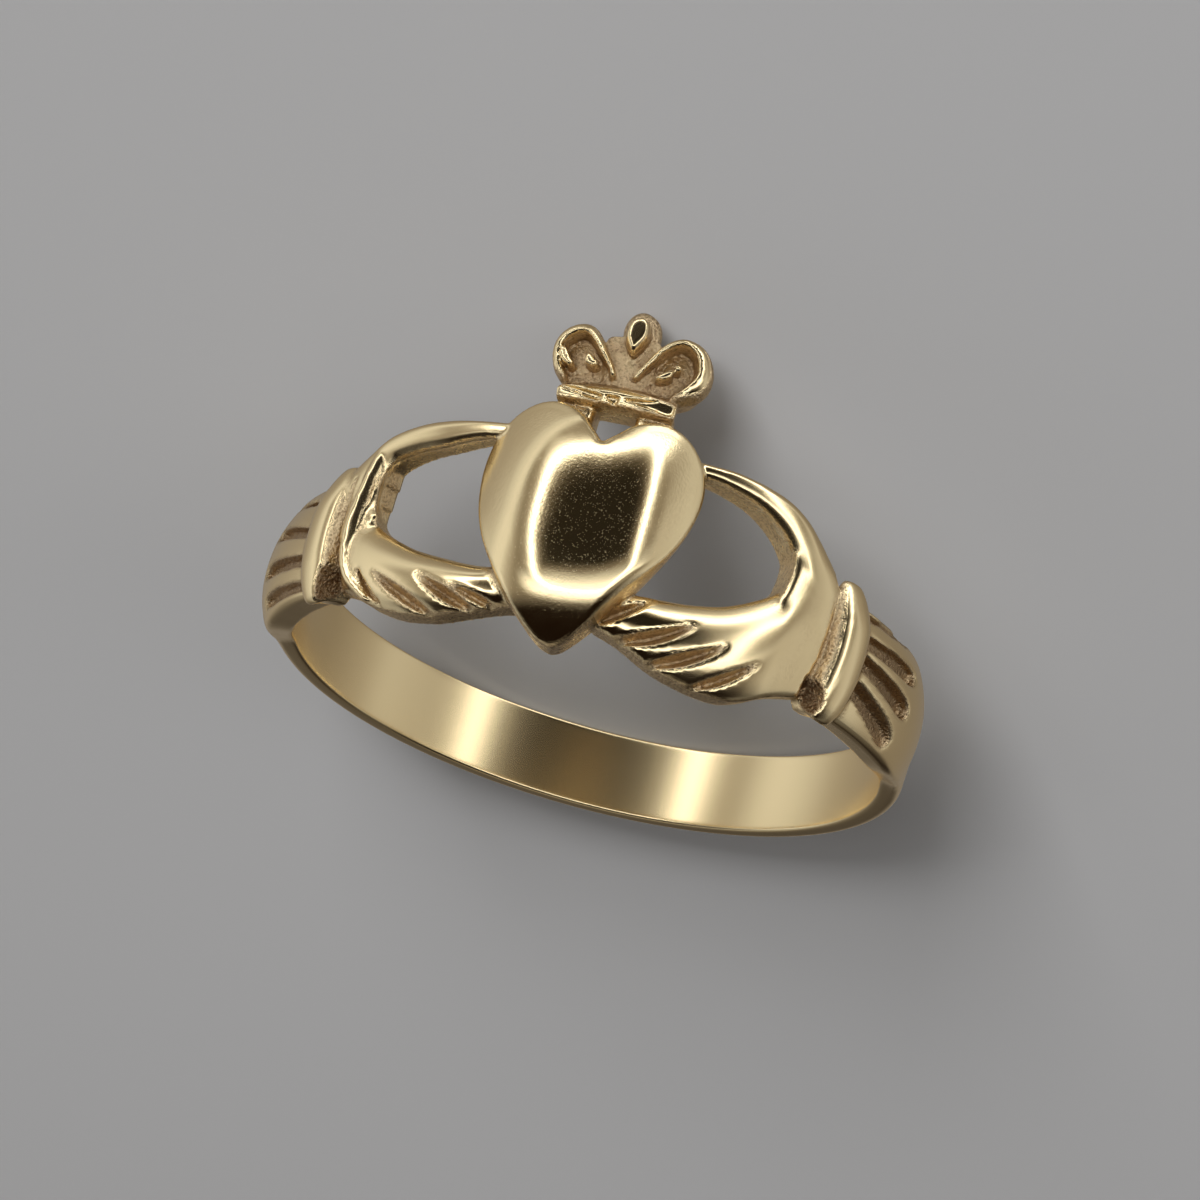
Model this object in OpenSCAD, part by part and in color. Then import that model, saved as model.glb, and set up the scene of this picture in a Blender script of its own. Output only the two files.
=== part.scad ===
/* [Finger hole and band] */
// Radius of the finger hole
bore_r = 8.6; // [8.2:0.1:9.4]
// Width of the band at the back of the finger
band_w = 2.45; // [2.1:0.05:2.9]
// Thickness of the band at the back of the finger
band_t = 0.66; // [0.5:0.02:1]
// Radius on the outer corners of the band
band_round = 0.18; // [0.05:0.01:0.22]

/* [Sleeves] */
// Length of a sleeve round the ring, from the middle of its cuff, in degrees
sleeve_deg = 47; // [40:1:50]
// Thickness of the ribbed sleeves along their middle
sleeve_t = 1.28; // [1.1:0.02:1.4]
// Width of the sleeves next to the cuffs
sleeve_w = 3.5; // [3.1:0.05:3.8]
// Depth of the pockets between the ribs
pocket_depth = 0.36; // [0.2:0.02:0.5]
// Width of the widest pockets
pocket_w = 0.56; // [0.4:0.02:0.6]

/* [Cuffs] */
// Place of the middle of a cuff round the ring, in degrees from the heart
cuff_at = 50; // [46:0.5:52]
// Width of a cuff across the ring
cuff_w = 4.3; // [4:0.05:4.6]
// Length of a cuff round the ring, in degrees
cuff_deg = 8.4; // [6:0.1:9]
// Height of a cuff over the finger hole
cuff_t = 1.42; // [1.25:0.01:1.6]

/* [Hands] */
// Width across a hand, from the lowest finger to the top of the thumb
hand_w = 6.16; // [5.8:0.02:6.4]
// Height of the thumb and palm along their middle
hand_t = 1.12; // [0.95:0.01:1.25]
// Height of the hands at their outlines
hand_edge = 0.7; // [0.6:0.01:0.85]
// Height left under the cuts between the fingers
cut_floor = 0.55; // [0.35:0.01:0.7]

/* [Heart] */
// Width of the heart round the ring
heart_w = 6.3; // [5.8:0.05:6.8]
// Height of the heart from its point to the tops of its lobes
heart_h = 6.88; // [6.5:0.02:7.2]
// Distance from the middle of the band down to the heart's point
heart_low = 2.84; // [2.7:0.02:3]
// Height of the rim of the heart over the finger hole
heart_rim = 1.0; // [0.85:0.01:1.15]
// Height of the middle of the heart over the finger hole
heart_t = 2.15; // [1.8:0.05:2.5]

/* [Crown] */
// Width across the two arches of the crown
crown_w = 4.56; // [4.2:0.02:4.8]
// Height of the crown from its foot to its tip
crown_h = 3.24; // [3:0.02:3.5]
// Height of the plate behind the arches
crown_plate = 0.95; // [0.8:0.01:1.05]
// Height of the two looped arches
arch_t = 1.4; // [1.25:0.01:1.6]
// Height of the drop at the top
drop_t = 1.62; // [1.4:0.01:1.8]
// Half width of the wire of the arches
arch_wire = 0.22; // [0.16:0.01:0.26]

/* [Hidden] */
gold = [0.80, 0.62, 0.36];
// The relief starts this far inside the finger hole, which then trims it
base = -0.35;
// The plain band runs out of the sleeves this many degrees from the heart
band_from = cuff_at + 0.68 * sleeve_deg;
// Its ends lie inside the right and the left palm, just past the openings of the hands
band_right = 0.82 * cuff_at;
band_left = 0.93 * cuff_at;
// The crown's tip and the far edge of the band lie on the surface together
heart_top = heart_h - heart_low;
crown_foot = heart_top + 0.06;
crown_top = crown_foot + crown_h;
tilt = atan((crown_top - band_w / 2) / (2 * bore_r + band_t));

// Every place on the ring is given as [degrees from the middle of the heart,
// mm along the finger towards the crown, mm above the finger hole]
function at(p) = [(bore_r + p[2]) * sin(p[0]), p[1], (bore_r + p[2]) * cos(p[0])];
function deg_of(mm) = mm / (bore_r + 1) * 180 / PI;

// Smooth curve through the rows of a table, all columns at once
function through(a, b, c, d, t) =
    0.5 * (2 * b + (c - a) * t + (2 * a - 5 * b + 4 * c - d) * t * t
    + (3 * b - a - 3 * c + d) * t * t * t);
function smooth(rows, steps) = let(n = len(rows)) concat(
    [for (i = [0:n - 2], s = [0:steps - 1])
        through(rows[max(i - 1, 0)], rows[i], rows[i + 1], rows[min(i + 2, n - 1)], s / steps)],
    [rows[n - 1]]);
function closed(rows, steps) = let(n = len(rows))
    [for (i = [0:n - 1], s = [0:steps - 1])
        through(rows[(i + n - 1) % n], rows[i], rows[(i + 1) % n], rows[(i + 2) % n], s / steps)];

// Solid through a row of sections, each a ring of places, its ends closed by their middles
function middle_of(ring) = [for (k = [0:2]) [for (p = ring) p[k]] * [for (p = ring) 1 / len(ring)]];
module loft(sections) {
    n = len(sections[0]);
    m = len(sections);
    last = (m - 1) * n;
    polyhedron(
        points = concat([for (s = sections, p = s) at(p)],
            [at(middle_of(sections[0])), at(middle_of(sections[m - 1]))]),
        faces = concat(
            [for (i = [0:m - 2], j = [0:n - 1])
                let(a = i * n + j, b = i * n + (j + 1) % n)
                each [[a, b, a + n], [b, b + n, a + n]]],
            [for (j = [0:n - 1]) [m * n, (j + 1) % n, j]],
            [for (j = [0:n - 1]) [m * n + 1, last + j, last + (j + 1) % n]]),
        convexity = 6);
}

// Solid from nested outlines, closed by a middle point below and above
module pillow(levels, middle) {
    n = len(levels[0]);
    m = len(levels);
    low = m * n;
    polyhedron(
        points = concat(
            [for (s = levels, p = s) at(p)],
            [at([middle[0], middle[1], base]), at(middle)]),
        faces = concat(
            [for (i = [0:m - 2], j = [0:n - 1])
                let(a = i * n + j, b = i * n + (j + 1) % n)
                each [[a, b, a + n], [b, b + n, a + n]]],
            [for (j = [0:n - 1]) [low, (j + 1) % n, j]],
            [for (j = [0:n - 1]) [low + 1, (m - 1) * n + j, (m - 1) * n + (j + 1) % n]]),
        convexity = 6);
}

// Strip across the ring at each row: [degrees, low edge, high edge, edge height, middle height].
// Its foot is set back by lean: [degrees, mm at the low edge, mm at the high edge]
dome = [for (i = [0:8]) [i / 8, 1 - pow(abs(i / 4 - 1), 2.2)]];
module strip(rows, shape = dome, lean = [0, 0, 0]) {
    loft([for (r = rows) concat(
        [[r[0] + lean[0], r[2] - lean[2], base], [r[0] + lean[0], r[1] + lean[1], base]],
        [for (k = shape) [r[0], r[1] + (r[2] - r[1]) * k[0], r[3] + (r[4] - r[3]) * k[1]]])]);
}

// Rounded wire along a path of rows: [mm round the ring, mm towards the crown, half width, height]
function turn(path, i) = let(
    a = path[max(i - 1, 0)],
    b = path[min(i + 1, len(path) - 1)],
    d = [b[0] - a[0], b[1] - a[1]]) [-d[1], d[0]] / norm(d);
module wire(path, edge, shape = [for (i = [0:6]) [i / 3 - 1, 1 - pow(abs(i / 3 - 1), 2)]]) {
    loft([for (i = [0:len(path) - 1])
        let(p = path[i], side = turn(path, i),
            place = function(k, h) [deg_of(p[0] + side[0] * k * p[2]), p[1] + side[1] * k * p[2], h])
        concat([place(-0.1, base), place(-1, base)],
            [for (k = shape) place(k[0], edge + (p[3] - edge) * k[1])])]);
}

// Tapering cut along a path of rows: [degrees, mm towards the crown, half width, floor height].
// Its floor lies between two shares of the half width
module cut(rows, top, floor = [0.35, -0.35]) {
    path = [for (r = rows) [r[0] / deg_of(1), r[1], r[2], r[3]]];
    loft([for (i = [0:len(path) - 1])
        let(p = path[i], side = turn(path, i),
            place = function(k, h) [deg_of(p[0] + side[0] * k * p[2]), p[1] + side[1] * k * p[2], h])
        [place(-1, 2.4), place(1, 2.4), place(1, top), place(floor[0], p[3]), place(floor[1], p[3]), place(-1, top)]]);
}

module both_sides() {
    children();
    mirror([1, 0, 0]) children();
}

// Hoop with the section of its child, round the back of the finger from degrees to degrees off the heart
module hoop(right, left) {
    rotate([-90, 0, 0]) rotate([0, 0, right - 90]) rotate_extrude(angle = 360 - right - left) children();
}

// Plain band round the back of the finger, from palm to palm
module band() {
    color(gold)
    hoop(band_right, band_left, $fn = 128)
    difference() {
        translate([bore_r, -band_w / 2]) square([band_t, band_w]);
        for (s = [-1, 1]) translate([bore_r + band_t - band_round, s * (band_w / 2 - band_round)])
            difference() {
                translate([0, s > 0 ? 0 : -band_round]) square(band_round);
                circle(r = band_round, $fn = 32);
            }
    }
}

// Ribbed sleeve on a shoulder, wide at the cuff and running out into the band
module sleeve(t, pockets) {
    half = sleeve_w / 2;
    // share of the length, half width, edge height, middle height
    rows = [
        [0, half, 0.66 * t, t],
        [0.17, half, 0.66 * t, t],
        [0.36, half, 0.64 * t, t],
        [0.53, 0.98 * half, 0.61 * t, 0.97 * t],
        [0.68, 0.88 * half, 0.55 * t, 0.86 * t],
        [0.85, band_w / 2 + 0.08, 0.88 * band_t, band_t + 0.08],
        [1, band_w / 2 - 0.02, 0.76 * band_t, band_t + 0.01]];
    color(gold)
    difference() {
        // past the start of the plain band the underside runs inside that band
        loft([for (r = smooth(rows, 2))
            let(a = cuff_at + r[0] * sleeve_deg, low = a > band_from + 2 ? 0.38 * band_t : base,
                foot = min(r[1], band_w / 2 + 0.1))
            concat([[a, foot, low], [a, -foot, low]],
                [for (k = dome) [a, r[1] * (2 * k[0] - 1), r[2] + (r[3] - r[2]) * k[1]]])]);
        for (p = pockets) cut(
            [for (t = [0, 0.1, 0.35, 0.65, 0.9, 1])
                [cuff_at + sleeve_deg * (p[0] + (p[2] - p[0]) * t), half * (p[1] + (p[3] - p[1]) * t),
                 pocket_w / 2 * p[4] * (0.25 + 0.75 * sqrt(1 - pow(2 * t - 1, 4))),
                 sleeve_t * p[5] - pocket_depth * (0.3 + 0.7 * sqrt(1 - pow(2 * t - 1, 4)))]],
            sleeve_t);
    }
}

module sleeve_right() {
    // first share of the length, first share of the half width, last of each, share of pocket_w, of sleeve_t
    sleeve(sleeve_t * 0.92, [
        [0.074, 0.834, 0.404, 0.96, 0.45, 0.8],
        [0.096, 0.423, 0.457, 0.491, 1, 0.88],
        [0.096, 0.069, 0.436, -0.126, 1.1, 0.9],
        [0.085, -0.389, 0.394, -0.731, 1.2, 0.86]]);
}

module sleeve_left() {
    mirror([1, 0, 0]) sleeve(sleeve_t, [
        [0.096, 0.629, 0.404, 0.857, 0.4, 0.84],
        [0.096, 0.069, 0.447, 0.411, 0.9, 0.94],
        [0.096, -0.411, 0.468, -0.229, 1, 0.94],
        [0.085, -0.811, 0.457, -0.731, 0.9, 0.84]]);
}

// Raised cuff across the ring, set back underneath to the width of the sleeve
module cuff() {
    foot = band_w / 2 + 0.12;
    foot_share = function(up) max(1 - pow(0.93 * up, 2), 0.1);
    // share of the half width, degrees back towards the heart, share of the length, share of the height
    rows = [
        [1, 1.6, 0.3, 0.62],
        [0.94, 1.4, 0.66, 0.74],
        [0.74, 0.8, 0.9, 0.87],
        [0.42, 0.1, 1, 1],
        [0, 0, 1, 1.03],
        [-0.42, 0.5, 1, 1],
        [-0.72, 1.2, 0.96, 0.9],
        [-0.92, 1.6, 0.8, 0.76],
        [-1, 1.8, 0.45, 0.62]];
    color(gold)
    loft([for (r = smooth(rows, 2))
        let(up = r[0] * cuff_w / 2, mid = cuff_at - r[1], half = cuff_deg / 2, top = r[3] * cuff_t,
            low = min(max(up, -foot), foot) + up * 0.02)
        concat([[mid + half * r[2], low, base], [mid - half * foot_share(r[0]), low, base]],
            [for (i = [0:8]) let(k = i / 4 - 1)
                [mid + half * r[2] * k, up, top * (0.74 + 0.26 * sqrt(1 - pow(abs(k), 2.6)))]])]);
}

// One hand: a thumb over the opening, and a palm whose fingers run under it to the heart
module hand(thumb, fingers, cuts, flare) {
    placed = function(rows) [for (r = smooth(rows, 2))
        [r[0] * cuff_at, r[1] * hand_w, r[2] * hand_w, hand_edge, r[3] * hand_t]];
    color(gold)
    difference() {
        union() {
            strip(placed(thumb), lean = [flare[0], flare[1], 0]);
            strip(placed(fingers), lean = [flare[0], 0, 0.05]);
        }
        for (c = cuts) cut(
            [for (t = [0, 0.2, 0.5, 0.8, 1])
                [cuff_at * (c[0] + (c[2] - c[0]) * t),
                 hand_w * (c[1] + (c[3] - c[1]) * t + c[5] * 4 * t * (1 - t)),
                 c[4] * (1 - 0.85 * t * t),
                 cut_floor + (hand_t + 0.05 - cut_floor) * t * t * t]],
            hand_t, [0.3, 0]);
    }
}

module hand_right() {
    // share of the way to the cuff, inner edge, outer edge as shares of hand_w, share of the height
    thumb = [
        [0.2, 0.463, 0.552, 0.88],
        [0.34, 0.49, 0.568, 0.9],
        [0.44, 0.479, 0.578, 0.94],
        [0.54, 0.451, 0.571, 0.98],
        [0.63, 0.399, 0.555, 1],
        [0.69, 0.34, 0.53, 1.02],
        [0.745, 0.256, 0.494, 1.03],
        [0.805, 0.13, 0.438, 1.03],
        [0.9, 0, 0.339, 1.03]];
    // share of the way to the cuff, low edge, high edge as shares of hand_w, share of the height
    fingers = [
        [0.12, -0.308, -0.162, 0.92],
        [0.22, -0.345, -0.117, 0.95],
        [0.33, -0.403, -0.097, 1],
        [0.42, -0.43, -0.073, 1.02],
        [0.52, -0.44, -0.028, 1.05],
        [0.62, -0.43, 0.05, 1.07],
        [0.7, -0.386, 0.137, 1.08],
        [0.76, -0.337, 0.256, 1.06],
        [0.82, -0.299, 0.317, 1.04],
        [0.92, -0.25, 0.308, 1]];
    // first way to the cuff, first share of hand_w, last of each, half width in mm, bow
    cuts = [
        [0.135, -0.285, 0.3, -0.115, 0.24, 0],
        [0.2, -0.355, 0.45, -0.16, 0.3, -0.03],
        [0.33, -0.415, 0.545, -0.228, 0.29, -0.018],
        [0.465, -0.465, 0.675, -0.24, 0.28, -0.02]];
    hand(thumb, fingers, cuts, [0.4, 0.05]);
}

module hand_left() {
    thumb = [
        [0.2, 0.455, 0.545, 0.88],
        [0.34, 0.461, 0.549, 0.9],
        [0.44, 0.448, 0.549, 0.94],
        [0.56, 0.406, 0.545, 0.98],
        [0.66, 0.38, 0.529, 1],
        [0.76, 0.341, 0.494, 1.02],
        [0.82, 0.292, 0.454, 1.03],
        [0.885, 0.12, 0.402, 1.03],
        [0.94, 0, 0.352, 1.03]];
    fingers = [
        [0.12, -0.292, -0.179, 0.92],
        [0.22, -0.318, -0.136, 0.95],
        [0.33, -0.357, -0.136, 1],
        [0.44, -0.39, -0.119, 1.03],
        [0.56, -0.393, -0.088, 1.06],
        [0.66, -0.37, -0.039, 1.08],
        [0.75, -0.328, 0.019, 1.08],
        [0.83, -0.286, 0.097, 1.06],
        [0.872, -0.269, 0.26, 1.04],
        [0.96, -0.244, 0.325, 1]];
    cuts = [
        [0.17, -0.35, 0.385, -0.262, 0.26, 0],
        [0.255, -0.375, 0.5, -0.228, 0.32, -0.015],
        [0.35, -0.447, 0.675, -0.228, 0.34, -0.02]];
    mirror([1, 0, 0]) hand(thumb, fingers, cuts, [1.6, 0.3]);
}

// Domed heart with a cleft at the top and a point towards the fingertips
module heart() {
    // share of the height, shares of the width to the right and left, from the cleft down to the point
    halves = [
        [0.849, 0, 0], [0.892, 0.04, 0.04], [0.948, 0.092, 0.098], [0.984, 0.159, 0.171],
        [1, 0.235, 0.254], [0.985, 0.314, 0.341], [0.942, 0.384, 0.421], [0.875, 0.441, 0.486],
        [0.788, 0.471, 0.524], [0.692, 0.468, 0.53], [0.584, 0.441, 0.508], [0.474, 0.394, 0.463],
        [0.372, 0.337, 0.406], [0.27, 0.267, 0.333], [0.169, 0.192, 0.251], [0.081, 0.117, 0.159],
        [0.02, 0.051, 0.07], [0, 0, 0]];
    rows = smooth(halves, 2);
    n = len(rows);
    up = function(share) share * heart_h - heart_low;
    outline = concat(
        [for (i = [0:n - 2]) [rows[i][1] * heart_w, up(rows[i][0])]],
        [for (i = [n - 1:-1:1]) [-rows[i][2] * heart_w, up(rows[i][0])]]);
    middle = [0, up(0.52)];
    // broad dome whose level lines are rounded rectangles: nearly flat in the middle, then evenly steep,
    // and steepest towards the point
    reach_x = 0.273 * heart_w;
    reach_up = 0.36 * heart_h;
    reach_down = 0.312 * heart_h;
    square = 2.6;
    slope = 0.47;
    fall = function(q) let(
        x = abs(q[0] - middle[0]) / reach_x, over = q[1] - middle[1],
        y = abs(over) / (over > 0 ? reach_up : reach_down),
        k = pow(pow(x, square) + pow(y, square), 1 / square),
        even = over < 0 ? 1.2 + 0.45 * pow(y / k, 2) : 1.2)
        slope * reach_x * (pow(min(k, even), 3) / 3 + even * even * max(k - even, 0));
    // rounded off along the outline, most tightly by the cleft
    cleft = [0, up(halves[0][0])];
    shoulder = function(in, p) let(r = 0.35 + 0.35 * min(norm(p - cleft) / 1.8, 1))
        heart_rim + (heart_t - heart_rim) * sqrt(1 - pow(1 - min(in / r, 1), 2)) + 0.2 * in;
    // share of the outline, height there if it isn't on the dome
    levels = [[0.97, base], [0.985, 0.5], [1, heart_rim - 0.15], [0.988], [0.95], [0.88], [0.77], [0.62], [0.43],
        [0.22]];
    color(gold)
    pillow([for (l = levels) [for (i = [0:len(outline) - 1])
        let(p = outline[i], d = p - middle, blend = pow(1 - l[0], 0.9),
            away = d * (1 - blend) + 0.365 * heart_w * blend * d / norm(d), q = middle + l[0] * away,
            h = is_undef(l[1]) ? min(heart_t - fall(q), shoulder(0.85 * norm(p - q), p)) : l[1])
        [deg_of(q[0]), q[1], h]]],
        [deg_of(middle[0]), middle[1], heart_t]);
}

// Flat or domed lobe: an outline of [mm round the ring, mm towards the crown] round a middle
module lobe(outline, middle, edge, top) {
    ring = closed(outline, 2);
    pillow([for (l = [[0.82, base], [1, edge - 0.2], [1, edge], [0.9, edge + (top - edge) * 0.45],
                      [0.66, edge + (top - edge) * 0.82], [0.35, edge + (top - edge) * 0.97]])
        [for (i = [len(ring) - 1:-1:0]) let(q = middle + (ring[i] - middle) * l[0]) [deg_of(q[0]), q[1], l[1]]]],
        [deg_of(middle[0]), middle[1], top]);
}

module crown() {
    // Places on the crown, as shares of its half width and of its height over its foot
    spot = function(p) [p[0] * crown_w / 2, crown_foot + p[1] * crown_h];
    spots = function(rows) [for (p = rows) spot(p)];
    // share across the band of the crown, share of its height
    rims = [[0, 0.1], [0.07, 0.72], [0.16, 0.82], [0.3, 0.7], [0.42, 0.84], [0.52, 1],
            [0.66, 0.96], [0.84, 0.72], [1, 0.2]];
    // share of the half width, shares of the height at the low and high edge, share of crown_plate, of arch_t
    rows = [
        [-0.735, 0.006, 0.154, 0.9, 0.9], [-0.698, -0.006, 0.191, 0.947, 1], [-0.367, 0, 0.228, 0.947, 1.014],
        [0, 0.009, 0.253, 0.947, 1.014], [0.367, 0.012, 0.253, 0.947, 1.014], [0.661, 0.012, 0.228, 0.947, 1],
        [0.7, 0.025, 0.2, 0.9, 0.9]];
    // share of the half width, share of the height, share of arch_wire, share of arch_t: up, over and down
    arch = [
        [0.132, 0.284, 0.636, 0.914], [0.246, 0.414, 0.818, 0.971], [0.373, 0.562, 1, 1], [0.526, 0.667, 1.05, 1],
        [0.719, 0.667, 1.15, 1], [0.868, 0.562, 1.25, 1], [0.895, 0.407, 1.25, 1], [0.781, 0.278, 1.1, 0.964],
        [0.596, 0.198, 0.8, 0.914], [0.439, 0.16, 0.6, 0.821]];
    ridge = [[-1, 0], [-0.8, 0.6], [-0.5, 0.96], [-0.2, 1], [0.15, 0.84], [0.6, 0.5], [1, 0]];
    // share of the half width, share of its height
    neck = [[0.25, 0.86], [0.33, 1], [0.658, 1], [0.72, 0.86]];
    neck_low = 0.74;
    neck_high = 0.3;
    // the arches and what is in them sit a little above their band, and to the right
    above = 0.08;
    turned = 0.25;
    color(gold) {
        strip([for (r = smooth(rows, 3)) let(low = spot([r[0], r[1]]), high = spot([r[0], r[2]]))
            [deg_of(low[0]), low[1], high[1], r[3] * crown_plate, r[4] * arch_t]], rims);
        // necks from under the lobes of the heart into the band of the crown
        both_sides() strip([for (r = neck)
            [deg_of(spot([r[0], 0])[0]), heart_top - neck_low, crown_foot + neck_high, 0.8 * r[1], 0.98 * r[1]]]);
        translate([0, above, 0]) rotate([0, turned, 0]) {
            both_sides() {
                wire([for (r = smooth(arch, 3)) [spot(r)[0], spot(r)[1], r[2] * arch_wire, r[3] * arch_t]],
                    0.95 * crown_plate, ridge);
                lobe(spots([[0.154, 0.185], [0.614, 0.154], [0.855, 0.34], [0.877, 0.54],
                    [0.658, 0.664], [0.417, 0.571], [0.219, 0.37]]),
                    spot([0.548, 0.386]), 0.92 * crown_plate, crown_plate);
            }
            // middle V between the arches
            lobe(spots([[0, 0.154], [0.263, 0.235], [0.333, 0.494], [0.377, 0.623], [0.219, 0.691],
                [-0.132, 0.691], [-0.333, 0.648], [-0.307, 0.494], [-0.246, 0.235]]),
                spot([0.009, 0.463]), 1.03 * crown_plate, 1.2 * crown_plate);
            // drop with its raised middle
            lobe(spots([[0.002, 0.505], [0.182, 0.595], [0.269, 0.695], [0.247, 0.815], [0.147, 0.905],
                [-0.018, 0.95], [-0.158, 0.885], [-0.218, 0.765], [-0.178, 0.635]]),
                spot([0.026, 0.735]), 0.97 * crown_plate, 1.22 * crown_plate);
            lobe(spots([[0.002, 0.465], [0.097, 0.545], [0.152, 0.645], [0.137, 0.755], [0.057, 0.82],
                [-0.048, 0.815], [-0.133, 0.74], [-0.133, 0.595]]),
                spot([0.007, 0.675]), 0.8 * drop_t, drop_t);
            // leaves inside the arches
            lobe(spots([[-0.682, 0.265], [-0.618, 0.295], [-0.683, 0.35], [-0.763, 0.43], [-0.79, 0.4],
                [-0.77, 0.325]]), spot([-0.71, 0.345]), 0.95 * crown_plate, 0.93 * arch_t);
            lobe(spots([[-0.518, 0.335], [-0.413, 0.29], [-0.333, 0.33], [-0.418, 0.385], [-0.498, 0.43]]),
                spot([-0.438, 0.35]), 0.95 * crown_plate, 0.93 * arch_t);
            lobe(spots([[0.307, 0.309], [0.461, 0.321], [0.614, 0.407], [0.526, 0.451],
                [0.386, 0.401]]), spot([0.461, 0.377]), 0.95 * crown_plate, 0.93 * arch_t);
            lobe(spots([[0.535, 0.448], [0.623, 0.451], [0.658, 0.506], [0.596, 0.549],
                [0.518, 0.512]]), spot([0.588, 0.494]), 0.95 * crown_plate, 0.93 * arch_t);
        }
    }
}

// Worked front of the ring over a finger hole a hair smaller than the band's. It is joined as one
// faceted body at many times its size, so that its finest facets stay apart, and brought back
module front() {
    hole = bore_r - 0.01;
    sides = 96;
    // groove that the band fills, narrower and shorter than the band by a lap
    lap = 0.08;
    lap_deg = 2;
    groove = 0.3 * band_t;
    many = 10;
    color(gold)
    scale(1 / many) resize([0, 0, 0]) scale(many)
    difference() {
        union() {
            both_sides() cuff();
            sleeve_right();
            sleeve_left();
            hand_right();
            hand_left();
            heart();
            crown();
        }
        rotate([-90, 0, 0]) translate([0, 0, -12]) cylinder(h = 24, r = hole / cos(180 / sides), $fn = sides);
        hoop(band_right + lap_deg, band_left + lap_deg, $fn = sides)
            translate([bore_r - 1, lap - band_w / 2]) square([1 + groove, band_w - 2 * lap]);
    }
}

// The whole ring is one casting, in its resting place with the crown down
module ring() {
    color(gold)
    rotate([-tilt, 0, 0])
    rotate([-90, 0, 180])
    union() {
        band();
        front();
    }
}

ring();
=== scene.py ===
import math

import bpy
import numpy as np
from mathutils import Matrix, Vector


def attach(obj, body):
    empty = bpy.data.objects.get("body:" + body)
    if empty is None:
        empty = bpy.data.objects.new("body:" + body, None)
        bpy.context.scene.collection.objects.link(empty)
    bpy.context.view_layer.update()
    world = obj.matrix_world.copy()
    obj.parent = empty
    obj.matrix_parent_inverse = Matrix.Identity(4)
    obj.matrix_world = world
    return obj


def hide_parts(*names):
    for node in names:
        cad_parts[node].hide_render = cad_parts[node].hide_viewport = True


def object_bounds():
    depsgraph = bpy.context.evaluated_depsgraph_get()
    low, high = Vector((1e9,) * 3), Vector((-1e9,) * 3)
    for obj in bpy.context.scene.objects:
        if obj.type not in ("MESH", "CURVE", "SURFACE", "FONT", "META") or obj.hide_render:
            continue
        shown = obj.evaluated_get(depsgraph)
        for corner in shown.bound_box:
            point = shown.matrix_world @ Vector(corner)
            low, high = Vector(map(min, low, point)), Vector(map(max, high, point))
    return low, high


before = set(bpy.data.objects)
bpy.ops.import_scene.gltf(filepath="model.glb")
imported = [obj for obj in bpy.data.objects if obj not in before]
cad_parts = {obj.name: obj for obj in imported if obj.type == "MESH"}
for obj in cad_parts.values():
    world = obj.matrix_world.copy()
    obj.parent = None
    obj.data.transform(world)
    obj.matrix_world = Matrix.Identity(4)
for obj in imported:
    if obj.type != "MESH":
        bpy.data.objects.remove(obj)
CAD_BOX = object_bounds()

MM = 0.001

# Sizes of the ring as the CAD part has them, in millimetres; CUFF_AT and those that end in _DEG are in
# degrees round the ring, and DOME_SLOPE is a slope
BORE_R = 8.6
BAND_W = 2.45
BAND_T = 0.66
BAND_ROUND = 0.18
SLEEVE_DEG = 47
SLEEVE_T = 1.28
SLEEVE_W = 3.5
POCKET_DEPTH = 0.36
POCKET_W = 0.56
CUFF_AT = 50
CUFF_W = 4.3
CUFF_DEG = 8.4
CUFF_T = 1.42
HAND_W = 6.16
HAND_T = 1.12
HAND_EDGE = 0.7
CUT_FLOOR = 0.55
HEART_W = 6.3
HEART_H = 6.88
HEART_LOW = 2.84
HEART_RIM = 1.0
HEART_T = 2.15
DOME_SLOPE = 0.47
CROWN_W = 4.56
CROWN_H = 3.24
CROWN_PLATE = 0.95
ARCH_T = 1.4
DROP_T = 1.62
HEART_TOP = HEART_H - HEART_LOW
CROWN_FOOT = HEART_TOP + 0.06
CROWN_TOP = CROWN_FOOT + CROWN_H
BAND_FROM = CUFF_AT + 0.68 * SLEEVE_DEG
TILT = math.atan((CROWN_TOP - BAND_W / 2) / (2 * BORE_R + BAND_T))

# The ring is worked out unrolled: x mm round the ring at this radius, y mm towards the crown,
# z mm above the finger hole
ROLL_R = BORE_R + 1


def arc(degrees):
    """Millimetres round the unrolled ring."""
    return np.radians(degrees) * ROLL_R


# Curves


def through(rows, steps, closed=False):
    """Smooth curve through the rows of a table, all columns at once."""
    p = np.array(rows, float)
    n = len(p)
    out = []
    for i in range(n if closed else n - 1):
        if closed:
            a, b, c, d = (p[(i + k) % n] for k in (-1, 0, 1, 2))
        else:
            a, b, c, d = p[max(i - 1, 0)], p[i], p[i + 1], p[min(i + 2, n - 1)]
        for s in range(steps):
            t = s / steps
            out.append(0.5 * (2 * b + (c - a) * t + (2 * a - 5 * b + 4 * c - d) * t * t
                              + (3 * b - a - 3 * c + d) * t ** 3))
    if not closed:
        out.append(p[-1])
    return np.array(out)


# The field: a box of grid points, unrolled, with values that are positive inside the metal


def graded(stops):
    """Grid coordinates whose spacing changes along the way. Each stop is [place, spacing]."""
    places = [stops[0][0]]
    stops = np.array(stops, float)
    while places[-1] < stops[-1, 0]:
        places.append(places[-1] + np.interp(places[-1], stops[:, 0], stops[:, 1]))
    places = np.array(places)
    return stops[0, 0] + (places - stops[0, 0]) * (stops[-1, 0] - stops[0, 0]) / (places[-1] - stops[0, 0])


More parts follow.
